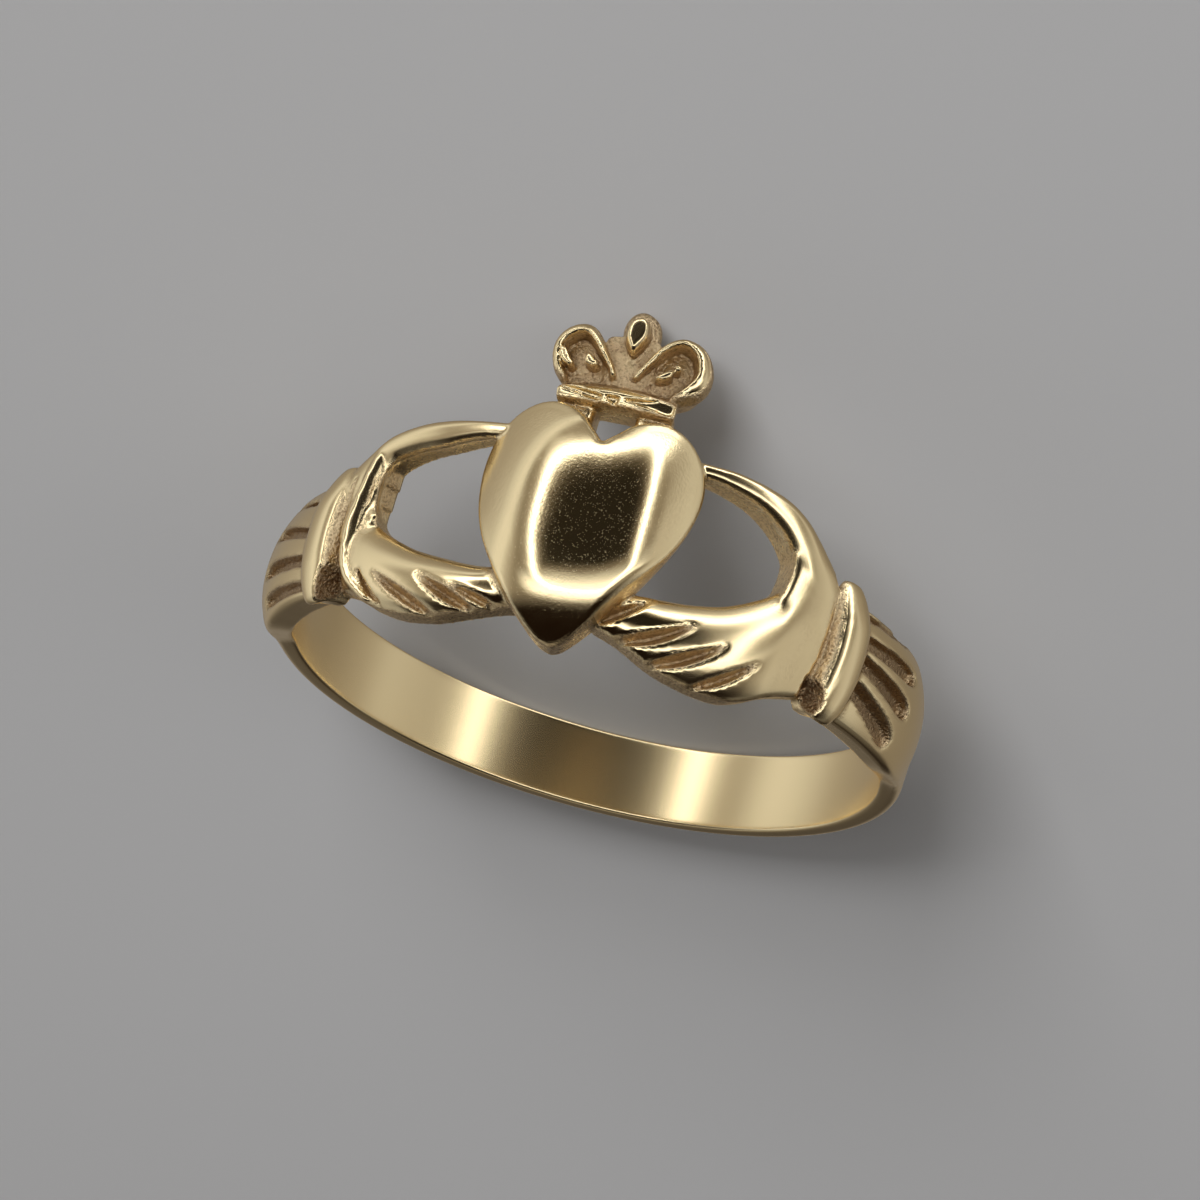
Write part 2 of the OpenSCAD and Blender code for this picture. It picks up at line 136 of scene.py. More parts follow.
FINE = 0.055
half_x = graded([[0, FINE], [2.4, FINE], [3.4, 0.07], [9.0, 0.077], [12.6, 0.115], [15.5, 0.16], [17, 0.3],
                 [math.pi * ROLL_R, 0.4]])
GX = np.concatenate([-half_x[:0:-1], half_x])[:-1]
GY = graded([[-3.15, 0.076], [3.4, 0.076], [4.0, FINE], [CROWN_TOP + 0.2, FINE]])
GZ = graded([[-0.14, 0.08], [0.6, 0.085], [1.0, 0.062], [2.4, 0.07]])
PERIOD = 2 * math.pi * ROLL_R
field = np.full((len(GX), len(GY), len(GZ)), -1.0, np.float32)
# the same without any cuts, to tell where the surface lies inside one; the band has none and is left out
uncut = field.copy()


def soft_min(a, b, k):
    """The lesser of two fields, rounded over k mm where they meet."""
    return np.minimum(a, b) - np.maximum(k - np.abs(a - b), 0) ** 2 / (4 * k)


def soft_max(a, b, k):
    """The greater of two fields, rounded over k mm where they meet."""
    return np.maximum(a, b) + np.maximum(k - np.abs(a - b), 0) ** 2 / (4 * k)


class Patch:
    """The stretch of the grid that a form can reach."""

    def __init__(self, x, y, room=0.35):
        x0, x1, y0, y1 = np.min(x), np.max(x), np.min(y), np.max(y)
        i = np.searchsorted(GX, [x0 - room, x1 + room])
        j = np.searchsorted(GY, [y0 - room, y1 + room])
        self.part = (slice(i[0], i[1]), slice(j[0], j[1]))
        self.x, self.y = np.meshgrid(GX[self.part[0]], GY[self.part[1]], indexing="ij")

    def top(self, height):
        """Distance under a top surface, from its height over the patch."""
        gx, gy = np.gradient(height, self.x[:, 0], self.y[0], edge_order=1)
        slope = np.sqrt(1 + np.minimum(gx ** 2 + gy ** 2, 9))
        return (height[..., None] - GZ) / slope[..., None]

    def side(self, inside, height, lean):
        """Distance inside an outline that is set back by lean at the finger hole."""
        lower = np.clip(1 - GZ / np.maximum(height, 0.2)[..., None], 0, 1)
        return inside[..., None] - lower * np.broadcast_to(lean, inside.shape)[..., None]

    def add(self, inside, height, lean, rounding, blend, rim=None):
        """Adds a form with an outline and a top: rounding is at its edge, blend at its foot, and rim is
        the height of its edge where that isn't the top's."""
        side = self.side(inside, height if rim is None else np.full_like(height, rim), lean)
        value = soft_min(self.top(height), side, rounding).astype(np.float32)
        for values in (field, uncut):
            values[self.part] = soft_max(values[self.part], value, blend)

    def cut(self, value, blend):
        """Takes away where value is positive."""
        field[self.part] = soft_min(field[self.part], -value.astype(np.float32), blend)


def outline_distance(x, y, outline):
    """Distance from an outline, positive inside it."""
    best = np.full(x.shape, 1e9)
    wound = np.zeros(x.shape, bool)
    for a, b in zip(outline, np.roll(outline, -1, axis=0)):
        dx, dy = b[0] - a[0], b[1] - a[1]
        t = np.clip(((x - a[0]) * dx + (y - a[1]) * dy) / max(dx * dx + dy * dy, 1e-12), 0, 1)
        best = np.minimum(best, (x - a[0] - t * dx) ** 2 + (y - a[1] - t * dy) ** 2)
        crosses = (a[1] > y) != (b[1] > y)
        if dy:
            wound ^= crosses & (x < a[0] + (y - a[1]) * dx / dy)
    return np.where(wound, 1, -1) * np.sqrt(best)


def along_path(x, y, path):
    """Distance beside a path, positive on its left, and each further column of the path's nearest row."""
    best = np.full(x.shape, 1e9)
    side = np.zeros(x.shape)
    extra = np.zeros((path.shape[1] - 2,) + x.shape)
    for a, b in zip(path[:-1], path[1:]):
        dx, dy = b[0] - a[0], b[1] - a[1]
        t = np.clip(((x - a[0]) * dx + (y - a[1]) * dy) / (dx * dx + dy * dy), 0, 1)
        px, py = x - a[0] - t * dx, y - a[1] - t * dy
        d = px * px + py * py
        near = d < best
        best = np.where(near, d, best)
        side = np.where(near, np.sign(dx * py - dy * px), side)
        for k in range(len(extra)):
            extra[k] = np.where(near, a[2 + k] + t * (b[2 + k] - a[2 + k]), extra[k])
    return side * np.sqrt(best), extra


# Forms


def dome(t, power):
    """Height over a strip's width: 0 at its edges, where t is 0 or 1, and 1 in its middle."""
    return 1 - np.abs(2 * np.clip(t, 0, 1) - 1) ** power


def strip(rows, rounding, steps=6, blend=0.08, lean=(0.0, 0.0), power=2.2):
    """A strip along the ring from rows of [x, low edge, high edge, edge height, middle height].
    lean is how far its low and its high edge are set back at the finger hole."""
    r = through(rows, steps)
    outline = np.concatenate([r[:, [0, 1]], r[::-1][:, [0, 2]]])
    patch = Patch(r[:, 0], r[:, 1:3])
    low, high, edge, mid = (np.interp(patch.x, r[:, 0], r[:, k]) for k in (1, 2, 3, 4))
    across = (patch.y - low) / (high - low)
    height = edge + (mid - edge) * dome(across, power)
    inside = outline_distance(patch.x, patch.y, outline)
    set_back = lean[0] + (lean[1] - lean[0]) * np.clip(across, 0, 1)
    patch.add(inside, height, set_back, rounding, blend)


# Sections of cuts: share of the half width and share of the way up from the floor, from right to left.
# A pocket between ribs has steep walls.
POCKET = ((-1.3, 1.35), (-1, 1), (-0.75, 0.12), (-0.6, 0), (0.6, 0), (0.75, 0.12), (1, 1), (1.3, 1.35))
# The groove below a finger has a lower face that rises evenly, and an upper side rolled into the finger.
FINGER_GROOVE = (
    (-1.3, 1.12), (-1, 0.9), (0, 0.1), (0.2, 0), (0.4, 0.25), (0.6, 0.55), (0.8, 0.8), (1, 0.95), (1.3, 1.2))


def slot(rows, top, blend, section):
    """A tapering cut, with one of the sections above, along a path of rows: [x, y, half width, floor]."""
    r = through(rows, 6)
    shape = np.array(section)
    widest = shape[-1, 0]
    reach = np.array([-1, 1]) * r[:, 2].max()
    patch = Patch(r[:, [0]] + reach, r[:, [1]] + reach, room=0.1)
    beside, (half, floor) = along_path(patch.x, patch.y, r)
    half = np.maximum(half, 0.02)
    bottom = floor + (top - floor) * np.interp(beside / half, shape[:, 0], shape[:, 1])
    patch.cut(np.minimum(-patch.top(bottom), (half * widest - np.abs(beside))[..., None]), blend)


def turned(rows, side):
    """Rows for the left of the ring are the mirror image of the right's."""
    r = np.array(rows, float)
    r[:, 0] *= side
    return r if side > 0 else r[::-1]


def band():
    """The plain band round the back; its ends run on into the sleeves."""
    start = arc(BAND_FROM - 20)
    inside = BAND_W / 2 - np.abs(GY)[None, :, None]
    under = BAND_T - GZ[None, None, :]
    value = soft_min(inside, under, BAND_ROUND * 1.6)
    for part in (GX > start, GX < -start):
        field[part] = soft_max(field[part], value.astype(np.float32), 0.05)


def sleeve(side, thickness, pockets):
    """A sleeve with pockets: each is [share of the sleeve's length and of its half width where it starts,
    the same where it ends, share of the pocket's width, share of the sleeve's thickness]."""
    half = SLEEVE_W / 2
    # share of the length, half width, edge height, middle height
    rows = [
        [0, half, 0.66 * thickness, thickness],
        [0.17, half, 0.66 * thickness, thickness],
        [0.36, half, 0.64 * thickness, thickness],
        [0.53, 0.98 * half, 0.61 * thickness, 0.97 * thickness],
        [0.68, 0.88 * half, 0.55 * thickness, 0.86 * thickness],
        [0.85, BAND_W / 2 + 0.08, 0.88 * BAND_T, BAND_T + 0.08],
        [1, BAND_W / 2 - 0.02, 0.76 * BAND_T, BAND_T + 0.01]]
    strip(turned([[arc(CUFF_AT + r[0] * SLEEVE_DEG), -r[1], r[1], r[2], r[3]] for r in rows], side),
          rounding=0.16, lean=(0.12, 0.12))
    for from_x, from_y, to_x, to_y, wide, high in pockets:
        path = []
        # it starts under the cuff, widens along its way and has a round end
        for t in (-0.15, 0.3, 0.6, 0.8, 0.92, 0.98, 1):
            full = math.sqrt(1 - max(2 * t - 1, 0) ** 4)
            path.append([arc(CUFF_AT + SLEEVE_DEG * (from_x + (to_x - from_x) * t)),
                         half * (from_y + (to_y - from_y) * t),
                         POCKET_W / 2 * wide * (0.85 + 0.45 * t) * (0.2 + 0.8 * full),
                         SLEEVE_T * high - POCKET_DEPTH * (0.7 + 0.3 * full)])
        slot(turned(path, side), SLEEVE_T, 0.06, POCKET)


# share of the half width, degrees back towards the heart, share of the length, share of the height
CUFF_ROWS = [
    [1, 1.6, 0.3, 0.62], [0.94, 1.4, 0.66, 0.74], [0.74, 0.8, 0.9, 0.87], [0.42, 0.1, 1, 1],
    [0, 0, 1, 1.03], [-0.42, 0.5, 1, 1], [-0.72, 1.2, 0.96, 0.9], [-0.92, 1.6, 0.8, 0.76],
    [-1, 1.8, 0.45, 0.62]]


def cuff_edge(y):
    """How far round the ring the cuff's edge towards the heart lies."""
    rows = through(CUFF_ROWS[::-1], 5)
    return np.interp(y, rows[:, 0] * CUFF_W / 2, arc(CUFF_AT - rows[:, 1] - CUFF_DEG / 2 * rows[:, 2]))


def cuff(side):
    """A raised cuff, undercut past the band's edges, where it stands out beside the finger."""
    rows = through(CUFF_ROWS, 5)
    y = rows[:, 0] * CUFF_W / 2
    mid = arc(CUFF_AT - rows[:, 1])
    half = arc(CUFF_DEG / 2) * rows[:, 2]
    outline = np.concatenate([np.stack([mid + half, y], 1), np.stack([mid - half, y], 1)[::-1]])
    outline[:, 0] *= side
    patch = Patch(outline[:, 0], y)
    order = np.argsort(y)
    m, h, top = (np.interp(patch.y, y[order], v[order]) for v in (mid, half, rows[:, 3] * CUFF_T))
    from_middle = (patch.x * side - m) / h
    height = top * (0.78 + 0.22 * np.clip(1 - np.abs(from_middle) ** 2.6, 0, 1))
    inside = outline_distance(patch.x, patch.y, outline)
    past_band = np.clip(np.abs(patch.y) - BAND_W / 2 - 0.12, 0, 1)
    towards_heart = np.clip(-from_middle, 0, 1)
    lean = 0.05 + past_band * 0.9 + towards_heart * 0.25 * (patch.y / 2.3) ** 2
    patch.add(inside, height, lean, rounding=0.16, blend=0.07)


def hand(side, thumb, fingers, cuts, thumb_lean, palm, palm_middle, palm_edge, palm_blend, palm_lean):
    """A hand. Its places are [share of the way to the cuff, share of the hand's width].
    thumb and fingers: place on the lower edge, share of the width at the upper one, share of the height.
    cuts: place of a cut's first end, place of its last, half width in mm, bow as a share of the width.
    palm: places round the palm, where thumb and fingers meet; palm_edge is the share of the height there."""
    for rows, lean, edge, power in ((thumb, (thumb_lean, 0.0), 1.16 * HAND_EDGE, 3),
                                    (fingers, (0.0, 0.05), 1.1 * HAND_EDGE, 2.2)):
        table = [[arc(way * CUFF_AT), low * HAND_W, high * HAND_W, edge, height * HAND_T]
                 for way, low, high, height in rows]
        strip(turned(table, side), rounding=0.12, blend=0.06, lean=lean, power=power)
    *outline, middle = [[side * arc(way * CUFF_AT), share * HAND_W] for way, share in palm + [palm_middle]]
    lobe(outline, middle, palm_edge * HAND_T, 0.99 * HAND_T, palm_blend, rounding=0.16, lean=palm_lean)
    for from_way, from_share, to_way, to_share, half, bow in cuts:
        path = []
        for t in (0, 0.2, 0.5, 0.8, 1):
            path.append([arc(CUFF_AT * (from_way + (to_way - from_way) * t)),
                         HAND_W * (from_share + (to_share - from_share) * t + bow * 4 * t * (1 - t)),
                         half * (1 - 0.85 * t * t),
                         CUT_FLOOR + (HAND_T + 0.05 - CUT_FLOOR) * t ** 3])
        slot(turned(path, side), HAND_T, 0.05, FINGER_GROOVE)


def heart():
    """The domed heart."""
    # share of the height, shares of the width to the right and left, from the cleft to the point
    halves = through([
        [0.849, 0, 0], [0.892, 0.04, 0.04], [0.948, 0.092, 0.098], [0.984, 0.159, 0.171],
        [1, 0.235, 0.254], [0.985, 0.314, 0.341], [0.942, 0.384, 0.421], [0.875, 0.441, 0.486],
        [0.788, 0.471, 0.524], [0.692, 0.468, 0.53], [0.584, 0.441, 0.508], [0.474, 0.394, 0.463],
        [0.372, 0.337, 0.406], [0.27, 0.267, 0.333], [0.169, 0.192, 0.251], [0.081, 0.117, 0.159],
        [0.02, 0.051, 0.07], [0, 0, 0]], 6)
    y = halves[:, 0] * HEART_H - HEART_LOW
    outline = np.concatenate([np.stack([halves[:, 1] * HEART_W, y], 1),
                              np.stack([-halves[:, 2] * HEART_W, y], 1)[-2:0:-1]])
    patch = Patch(outline[:, 0], outline[:, 1])
    inside = outline_distance(patch.x, patch.y, outline)
    # a broad dome whose level lines are rounded rectangles: nearly flat in the middle, then evenly steep,
    # and steepest towards the point
    reach_x, reach_up, reach_down, square = 0.273 * HEART_W, 0.36 * HEART_H, 0.312 * HEART_H, 2.6
    over = patch.y - (0.52 * HEART_H - HEART_LOW)
    dx, dy = np.abs(patch.x) / reach_x, np.abs(over) / np.where(over > 0, reach_up, reach_down)
    away = (dx ** square + dy ** square) ** (1 / square)
    even = 1.2 + np.where(over < 0, 0.45 * (dy / np.maximum(away, 0.01)) ** 2, 0)
    bent, straight = np.minimum(away, even), np.maximum(away - even, 0)
    dome_height = HEART_T - reach_x * DOME_SLOPE * (bent ** 3 / 3 + even ** 2 * straight)
    # rounded off along the outline, most tightly by the cleft
    from_cleft = np.hypot(patch.x, patch.y - (0.849 * HEART_H - HEART_LOW))
    shoulder = 0.3 + 0.5 * np.clip(from_cleft / 1.8, 0, 1)
    rise = np.sqrt(1 - (1 - np.clip(inside / shoulder, 0, 1)) ** 2)
    edge_height = (HEART_RIM + (HEART_T - HEART_RIM) * rise + 0.4 * np.maximum(inside - 0.6 * shoulder, 0)
                   + np.minimum(inside, 0))
    height = soft_min(dome_height, edge_height, 0.12)
    patch.add(inside, height, 0.08, rounding=0.12, blend=0.03, rim=HEART_RIM)


def lobe(outline, middle, edge, top, blend=0.05, rounding=0.08, flat=1.0, lean=0.06):
    """A domed lobe with the heights edge and top; flat is the share of the way to its middle that the
    dome takes to rise, and lean how far its outline is set back at the finger hole."""
    ring = through(outline, 6, closed=True)
    patch = Patch(ring[:, 0], ring[:, 1])
    inside = outline_distance(patch.x, patch.y, ring)
    deep = outline_distance(np.array([[middle[0]]]), np.array([[middle[1]]]), ring)[0, 0]
    rise = np.sin(np.clip(inside / (deep * flat), -0.5, 1) * math.pi / 2)
    patch.add(inside, edge + (top - edge) * rise, lean, rounding, blend)


# A ridge's section: share of the width from its inside to its outside, share of the height over its edges
RIDGE = np.array([
    [-1, 0], [-0.7, 0.5], [-0.35, 0.9], [0, 1], [0.35, 0.9], [0.7, 0.62], [0.9, 0.3], [1, 0]])


def ridge(rows, side, lean=0.16):
    """A ridge along rows of [x, y, width inside its crest, width outside it, height]. Its outside is on
    the left of the path where side is 1, and is set back by lean at the finger hole."""
    r = through(rows, 5)
    reach = np.array([-1, 1]) * r[:, 3].max()
    patch = Patch(r[:, [0]] + reach, r[:, [1]] + reach)
    beside, (within, beyond, top) = along_path(patch.x, patch.y, r)
    beside *= side
    share = np.where(beside > 0, beside / beyond, beside / within)
    edge = 0.95 * CROWN_PLATE
    height = edge + (top - edge) * np.interp(share, RIDGE[:, 0], RIDGE[:, 1])
    inside = np.where(beside > 0, beyond - beside, within + beside)
    patch.add(inside, height, lean * (beside > 0), rounding=0.07, blend=0.04)


def facet(outline, floor):
    """A flat-bottomed hollow with a given outline."""
    ring = through(outline, 5, closed=True)
    patch = Patch(ring[:, 0], ring[:, 1], room=0.1)
    inside, above = np.broadcast_arrays(outline_distance(patch.x, patch.y, ring)[..., None], GZ - floor)
    patch.cut(soft_min(inside, above, 0.05), 0.025)


def crown():
    """The crown. Its places are [share of the half width, share of the height]."""

    def spot(place):
        return [place[0] * CROWN_W / 2, CROWN_FOOT + place[1] * CROWN_H]

    def swell(outline, middle, edge, top, **how):
        lobe([spot(place) for place in outline], spot(middle), edge, top, **how)

    # necks down to the lobes of the heart: share of the half width, share of the neck's height
    neck = [[0.25, 0.86], [0.33, 1], [0.658, 1], [0.72, 0.86]]
    for side in (1, -1):
        strip(turned([[across * CROWN_W / 2, HEART_TOP - 0.74, CROWN_FOOT + 0.3, 0.86 * high, 1.02 * high]
                      for across, high in neck], side), rounding=0.1, steps=3)
    # the plate behind each arch and the one between them
    behind_arch = [[0.154, 0.21], [0.614, 0.18], [0.855, 0.365], [0.877, 0.56], [0.658, 0.68],
                   [0.417, 0.59], [0.219, 0.39]]
    for side in (1, -1):
        outline = [[side * across, up] for across, up in behind_arch]
        swell(outline, [side * 0.548, 0.41], 0.92 * CROWN_PLATE, CROWN_PLATE)
    swell([[0.018, 0.18], [0.281, 0.26], [0.33, 0.52], [0.34, 0.65], [0.237, 0.716], [-0.15, 0.7],
           [-0.34, 0.66], [-0.33, 0.5], [-0.26, 0.25]],
          [0.01, 0.48], 1.03 * CROWN_PLATE, 1.16 * CROWN_PLATE)
    # the arches: place, width inside and outside the crest in mm, share of the height
    right_arch = [
        [0.128, 0.318, 0.1, 0.12, 0.92], [0.221, 0.44, 0.12, 0.14, 0.97], [0.348, 0.595, 0.13, 0.17, 1],
        [0.455, 0.672, 0.13, 0.22, 1], [0.56, 0.71, 0.13, 0.25, 1], [0.649, 0.702, 0.13, 0.3, 1],
        [0.735, 0.665, 0.13, 0.37, 1], [0.795, 0.598, 0.13, 0.43, 1], [0.827, 0.51, 0.13, 0.47, 1],
        [0.82, 0.44, 0.13, 0.48, 1], [0.787, 0.385, 0.13, 0.46, 0.98], [0.74, 0.34, 0.12, 0.42, 0.95],
        [0.68, 0.29, 0.1, 0.33, 0.9], [0.6, 0.24, 0.08, 0.22, 0.84]]
    left_arch = [
        [-0.137, 0.3, 0.13, 0.12, 0.95], [-0.175, 0.345, 0.09, 0.12, 0.97],
        [-0.239, 0.404, 0.1, 0.15, 0.98], [-0.33, 0.485, 0.12, 0.18, 1],
        [-0.411, 0.555, 0.13, 0.22, 1], [-0.49, 0.61, 0.14, 0.26, 1],
        [-0.565, 0.64, 0.14, 0.3, 1], [-0.65, 0.632, 0.14, 0.33, 1], [-0.73, 0.6, 0.14, 0.33, 1],
        [-0.8, 0.55, 0.14, 0.3, 1], [-0.84, 0.48, 0.14, 0.26, 1], [-0.838, 0.4, 0.14, 0.25, 0.98],
        [-0.79, 0.3, 0.12, 0.23, 0.95], [-0.72, 0.23, 0.1, 0.2, 0.88]]
    for rows, side in ((right_arch, 1), (left_arch, -1)):
        ridge([spot(r) + r[2:4] + [r[4] * ARCH_T * 1.06] for r in rows], side)
    # the leaf in the middle and the drop on it
    swell([[0.02, 0.53], [0.2, 0.62], [0.287, 0.72], [0.265, 0.84], [0.165, 0.93], [0, 0.967],
           [-0.14, 0.91], [-0.2, 0.79], [-0.16, 0.66]],
          [0.044, 0.76], 0.97 * CROWN_PLATE, 1.22 * CROWN_PLATE, rounding=0.16)
    swell([[0.02, 0.49], [0.115, 0.57], [0.17, 0.67], [0.155, 0.78], [0.075, 0.845], [-0.03, 0.84],
           [-0.115, 0.765], [-0.115, 0.62]],
          [0.025, 0.7], 0.8 * DROP_T, DROP_T, blend=0.03, rounding=0.12, flat=0.5)
    # the small lobes between the arches and the band
    for middle, outline in (
            ([-0.725, 0.385], [[-0.83, 0.465], [-0.745, 0.455], [-0.665, 0.375], [-0.6, 0.32],
                               [-0.664, 0.29], [-0.79, 0.35]]),
            ([-0.42, 0.375], [[-0.5, 0.36], [-0.395, 0.315], [-0.315, 0.355], [-0.4, 0.41], [-0.48, 0.455]]),
            ([0.455, 0.385], [[0.335, 0.34], [0.444, 0.33], [0.545, 0.39], [0.53, 0.45], [0.43, 0.415]]),
            ([0.58, 0.475], [[0.53, 0.45], [0.6, 0.44], [0.63, 0.475], [0.59, 0.515], [0.535, 0.5]])):
        swell(outline, middle, 1.25 * CROWN_PLATE, 1.05 * ARCH_T, blend=0.03, rounding=0.05, flat=0.5)
    # the band along the foot: share of the half width, shares of the height at its low and its high edge,
    # share of the rim's height
    rows = through([
        [-0.735, 0.006, 0.154, 0.9], [-0.698, -0.006, 0.191, 1], [-0.367, 0, 0.228, 1.014],
        [0, 0.009, 0.253, 1.014], [0.367, 0.012, 0.253, 1.014], [0.661, 0.012, 0.228, 1],
        [0.7, 0.025, 0.2, 0.9]], 6)
    x = rows[:, 0] * CROWN_W / 2
    low, high = (CROWN_FOOT + rows[:, k] * CROWN_H for k in (1, 2))
    outline = np.concatenate([np.stack([x, low], 1), np.stack([x, high], 1)[::-1]])
    patch = Patch(outline[:, 0], outline[:, 1])
    low, high, top = (np.interp(patch.x, x, v) for v in (low, high, rows[:, 3] * ARCH_T))
    # share of the way across the band, share of its height
    section = np.array([[0, 0.62], [0.07, 0.84], [0.16, 0.93], [0.34, 0.98], [0.48, 1], [0.58, 0.97],
                        [0.7, 0.9], [0.84, 0.78], [1, 0.62]])
    height = top * np.interp((patch.y - low) / (high - low), section[:, 0], section[:, 1])
    patch.add(outline_distance(patch.x, patch.y, outline), height, 0.05, rounding=0.08, blend=0.04)
    # three facets pressed into the lower half of the band
    for outline in (
            [[-0.7, 0.13], [-0.47, 0.115], [-0.2, 0.09], [-0.24, 0.045], [-0.47, 0.07], [-0.66, 0.1]],
            [[-0.14, 0.09], [0.02, 0.1], [-0.03, 0.035]],
            [[0.08, 0.09], [0.35, 0.14], [0.62, 0.2], [0.645, 0.06], [0.355, 0.075]]):
        facet([spot(place) for place in outline], 1.22)


band()
sleeve(1, SLEEVE_T * 0.92, [
    [0.074, 0.834, 0.404, 0.96, 0.45, 0.8], [0.096, 0.423, 0.457, 0.491, 1, 0.88],
    [0.096, 0.069, 0.436, -0.126, 1.1, 0.9], [0.085, -0.389, 0.394, -0.731, 1.2, 0.86]])
sleeve(-1, SLEEVE_T, [
    [0.096, 0.629, 0.404, 0.857, 0.35, 0.88], [0.096, 0.069, 0.447, 0.411, 0.65, 1.0],
    [0.096, -0.411, 0.468, -0.229, 0.75, 1.0], [0.085, -0.811, 0.457, -0.731, 0.7, 0.9]])
hand(1,
     thumb=[
         [0.2, 0.463, 0.552, 0.88], [0.34, 0.49, 0.568, 0.9], [0.44, 0.479, 0.578, 0.94],
         [0.54, 0.451, 0.571, 0.98], [0.63, 0.399, 0.555, 1], [0.69, 0.34, 0.53, 1.01],
         [0.745, 0.256, 0.494, 1], [0.805, 0.13, 0.438, 0.98], [0.9, 0, 0.339, 0.94]],
     fingers=[
         [0.12, -0.308, -0.162, 0.92], [0.22, -0.345, -0.117, 0.95], [0.33, -0.403, -0.097, 1],
         [0.42, -0.43, -0.073, 1.02], [0.52, -0.44, -0.028, 1.05], [0.62, -0.43, 0.05, 1.07],
         [0.7, -0.386, 0.137, 1.06], [0.76, -0.337, 0.256, 1.03], [0.82, -0.299, 0.317, 0.99],
         [0.92, -0.25, 0.308, 0.94]],
     cuts=[
         [0.135, -0.285, 0.3, -0.115, 0.24, 0], [0.2, -0.355, 0.45, -0.16, 0.3, -0.03],
         [0.33, -0.415, 0.545, -0.228, 0.29, -0.018], [0.465, -0.465, 0.675, -0.24, 0.28, -0.02]],
     thumb_lean=0.05,
     palm=[
         [0.7, 0.07], [0.75, -0.02], [0.84, -0.05], [0.93, 0], [0.94, 0.2], [0.89, 0.31], [0.81, 0.36],
         [0.75, 0.38], [0.71, 0.36], [0.714, 0.32], [0.72, 0.25], [0.712, 0.17]],
     palm_middle=[0.83, 0.2], palm_edge=0.9, palm_blend=0.06, palm_lean=0.06)
hand(-1,
     thumb=[
         [0.2, 0.455, 0.545, 0.88], [0.34, 0.461, 0.549, 0.9], [0.44, 0.448, 0.549, 0.94],
         [0.56, 0.406, 0.545, 0.98], [0.66, 0.38, 0.529, 1], [0.76, 0.341, 0.494, 1.02],
         [0.82, 0.292, 0.454, 1.03], [0.885, 0.12, 0.402, 1.03], [0.94, 0, 0.352, 1.03]],
     fingers=[
         [0.12, -0.292, -0.179, 0.92], [0.22, -0.318, -0.136, 0.95], [0.33, -0.357, -0.136, 1],
         [0.44, -0.39, -0.119, 1.03], [0.56, -0.393, -0.088, 1.06], [0.66, -0.37, -0.039, 1.08],
         [0.75, -0.328, 0.019, 1.08], [0.83, -0.286, 0.097, 1.06], [0.872, -0.269, 0.26, 1.04],
         [0.96, -0.244, 0.325, 1]],
     cuts=[
         [0.17, -0.35, 0.385, -0.262, 0.26, 0], [0.255, -0.375, 0.5, -0.228, 0.32, -0.015],
         [0.35, -0.447, 0.675, -0.228, 0.34, -0.02]],
     thumb_lean=0.3,
     palm=[
         [0.76, 0.05], [0.84, -0.05], [0.93, -0.05], [0.96, 0.05], [0.965, 0.2], [0.93, 0.31],
         [0.87, 0.36], [0.8, 0.36], [0.76, 0.345], [0.785, 0.28], [0.79, 0.2], [0.78, 0.12]],
     palm_middle=[0.89, 0.15], palm_edge=0.84, palm_blend=0.22, palm_lean=0.7)
for side in (1, -1):
    cuff(side)
# raised rim of the left wrist, that runs on along the fingers, and the crease beside its end
ridge([[-6.85, 2.2, 0.22, 0.22, 1.2], [-6.92, 1.7, 0.26, 0.26, 1.28], [-7.0, 1.0, 0.3, 0.3, 1.34],
       [-7.08, 0.1, 0.32, 0.32, 1.36], [-6.97, -0.8, 0.3, 0.3, 1.34], [-6.7, -1.42, 0.24, 0.24, 1.26],
       [-6.3, -1.8, 0.16, 0.16, 1.12], [-5.95, -2.05, 0.1, 0.1, 1.0]], 1, lean=0.75)
slot([[-6.32, -1.3, 0.05, 0.95], [-6.1, -1.62, 0.1, 0.76], [-5.75, -1.96, 0.11, 0.7],
      [-5.4, -2.2, 0.06, 0.8]], HAND_T, 0.03, POCKET)
# rough groove between each cuff and its hand, that widens to a pit at the fingers' end:
# share of the cuff's half width, mm past the cuff's edge, half width, share of the cuff's height
grooves = {
    1: [[-0.88, 0.16, 0.24, 0.3], [-0.76, 0.14, 0.3, 0.3], [-0.6, 0.02, 0.26, 0.4],
        [-0.45, -0.08, 0.15, 0.6], [-0.2, -0.06, 0.13, 0.68], [0.2, -0.04, 0.12, 0.7],
        [0.5, -0.04, 0.11, 0.74], [0.72, -0.04, 0.09, 0.8]],
    -1: [[-0.93, 0.0, 0.4, 0.24], [-0.72, 0.0, 0.4, 0.26], [-0.54, -0.06, 0.3, 0.36],
         [-0.4, -0.1, 0.18, 0.55], [-0.15, -0.1, 0.12, 0.66], [0.2, -0.1, 0.09, 0.74],
         [0.5, -0.1, 0.08, 0.78], [0.72, -0.1, 0.08, 0.78]]}
for side, rows in grooves.items():
    path = []
    for share, past, half, floor_share in rows:
        y = share * CUFF_W / 2
        path.append([cuff_edge(y) + past, y, half, floor_share * CUFF_T])
    slot(turned(path, side), CUFF_T * 0.97, 0.03, POCKET)
heart()
crown()

# The finger hole, with its edges a little rounded
field[:] = soft_min(field, np.broadcast_to(GZ.astype(np.float32), field.shape), 0.07)


# From the field to a mesh: one vertex in each cell that the surface passes through


